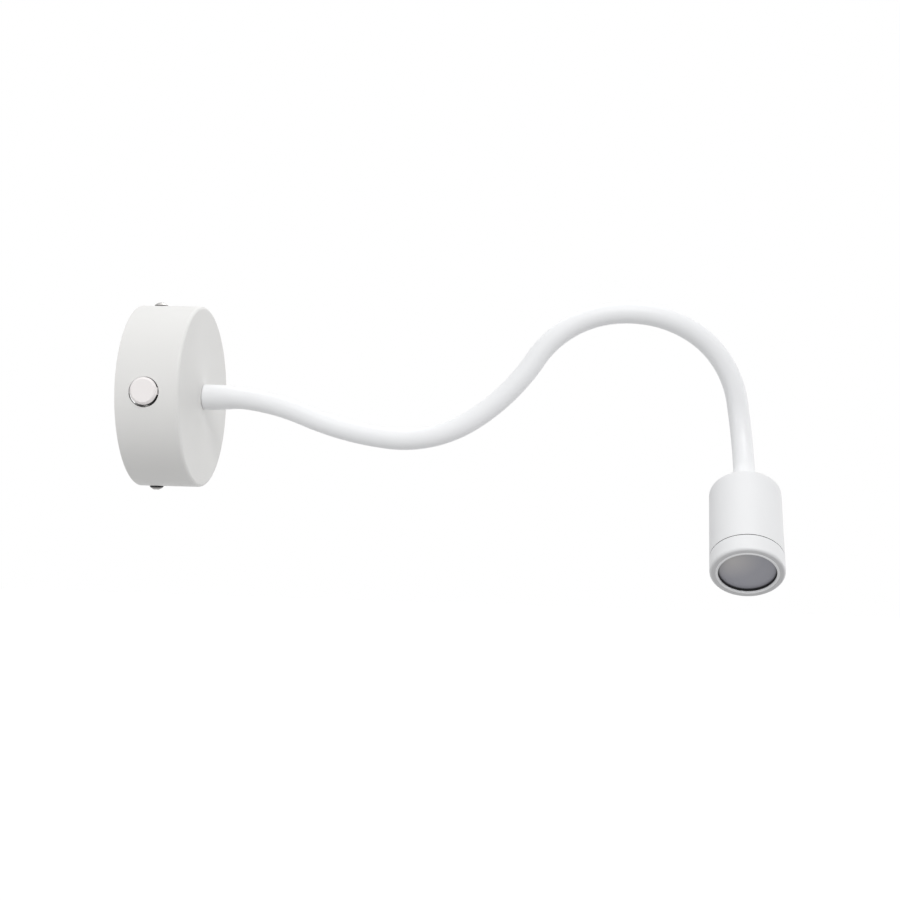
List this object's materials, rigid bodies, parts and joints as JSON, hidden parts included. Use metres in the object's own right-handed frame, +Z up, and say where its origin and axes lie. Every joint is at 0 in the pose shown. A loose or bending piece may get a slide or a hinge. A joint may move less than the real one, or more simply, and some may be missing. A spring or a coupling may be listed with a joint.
{
  "type": "flexible wall light",
  "caption": "Wall light with a round canopy, a push button on its side and a bendable sleeved arm that carries a small cylindrical spot head.",
  "frame": {"origin": "centre of the canopy's open back, in the plane of the wall", "axes": "+X out of the wall along the canopy's axis, +Z up, so the push button is on the -Y side"},
  "size_m": [0.2788, 0.0868, 0.1233],
  "materials": {
    "white_paint": "satin white powder coat on steel",
    "white_head_paint": "satin white powder coat on aluminium",
    "white_silicone": "satin white silicone sleeve",
    "white_button": "white plastic, slightly glossy",
    "zinc_steel": "zinc-plated steel sheet",
    "nickel": "nickel-plated steel",
    "hose_steel": "wound steel wire",
    "bare_aluminium": "turned aluminium",
    "brass": "bright brass",
    "block_plastic": "off-white moulded plastic",
    "case_plastic": "white moulded plastic",
    "switch_plastic": "black moulded plastic",
    "foam": "dark adhesive foam",
    "black_rubber": "black rubber",
    "brown_wire": "brown wire insulation",
    "black_wire": "black wire insulation",
    "blue_wire": "blue wire insulation",
    "earth_wire": "green and yellow wire insulation",
    "red_wire": "red wire insulation",
    "board_white": "white solder mask",
    "phosphor": "yellow phosphor under clear resin",
    "reflector_silver": "metallised plastic",
    "frosted_lens": "frosted translucent plastic"
  },
  "bodies": {
    "base": {"canopy": "white_paint", "mounting_bracket": "zinc_steel", "canopy_screws": "nickel", "cable_grommet": "black_rubber", "earth_screw": "brass", "terminal_block": "block_plastic", "terminal_screws": "nickel", "terminal_pad": "foam", "driver_case": "case_plastic", "driver_pad": "foam", "switch_bracket": "zinc_steel", "switch_body": "switch_plastic", "switch_nut": "nickel", "switch_blades": "brass", "switch_spring": "nickel", "wire_live": "brown_wire", "wire_switched": "black_wire", "wire_neutral": "blue_wire", "wire_earth": "earth_wire", "driver_leads": "red_wire", "base_ferrule": "zinc_steel", "base_washer": "nickel", "base_nut": "nickel", "sleeve_1": "white_silicone", "hose_1": "hose_steel", "leads_1": "red_wire"},
    "arm_2": {"sleeve_2": "white_silicone", "hose_2": "hose_steel", "leads_2": "red_wire"},
    "arm_3": {"sleeve_3": "white_silicone", "hose_3": "hose_steel", "leads_3": "red_wire"},
    "arm_4": {"sleeve_4": "white_silicone", "hose_4": "hose_steel", "leads_4": "red_wire"},
    "arm_5": {"sleeve_5": "white_silicone", "hose_5": "hose_steel", "leads_5": "red_wire"},
    "arm_6": {"sleeve_6": "white_silicone", "hose_6": "hose_steel", "leads_6": "red_wire"},
    "arm_7": {"sleeve_7": "white_silicone", "hose_7": "hose_steel", "leads_7": "red_wire"},
    "head": {"sleeve_8": "white_silicone", "hose_8": "hose_steel", "leads_8": "red_wire", "head_ferrule": "zinc_steel", "head_nut": "nickel", "head_housing": "white_head_paint", "heat_sink": "bare_aluminium", "led_board": "board_white", "led_chip": "phosphor", "board_screws": "nickel", "reflector": "reflector_silver", "lens": "frosted_lens", "lens_gasket": "black_rubber", "bezel": "white_head_paint", "head_leads": "red_wire"},
    "button": {"push_button": "white_button"}
  },
  "joints": [
    {"name": "lift_1", "type": "hinge", "parent": "base", "child": "arm_2", "pos_m": [0.07256, 0, -0.0073], "axis": [0, 1, 0], "range_deg": [-25, 25]},
    {"name": "swing_2", "type": "hinge", "parent": "arm_2", "child": "arm_3", "pos_m": [0.1098, 0, -0.01658], "axis": [-0.1045, 0, -0.9945], "range_deg": [-25, 25]},
    {"name": "lift_3", "type": "hinge", "parent": "arm_3", "child": "arm_4", "pos_m": [0.14651, 0, -0.00777], "axis": [0, 1, 0], "range_deg": [-25, 25]},
    {"name": "swing_4", "type": "hinge", "parent": "arm_4", "child": "arm_5", "pos_m": [0.17354, 0, 0.01926], "axis": [0.8387, 0, -0.5446], "range_deg": [-25, 25]},
    {"name": "lift_5", "type": "hinge", "parent": "arm_5", "child": "arm_6", "pos_m": [0.20489, 0, 0.03962], "axis": [0, 1, 0], "range_deg": [-25, 25]},
    {"name": "swing_6", "type": "hinge", "parent": "arm_6", "child": "arm_7", "pos_m": [0.24169, 0.00483, 0.03306], "axis": [-0.4775, -0.0832, -0.8747], "range_deg": [-25, 25]},
    {"name": "lift_7", "type": "hinge", "parent": "arm_7", "child": "head", "pos_m": [0.26255, 0.01194, 0.00298], "axis": [-0.2597, 0.9639, 0.0582], "range_deg": [-25, 25]},
    {"name": "button_press", "type": "slide", "parent": "base", "child": "button", "axis": [0, 1, 0], "range_m": [0, 0.0012], "stiffness_N_per_m": 1000, "springref_m": -0.0005, "deforming": ["switch_spring"]}
  ]
}
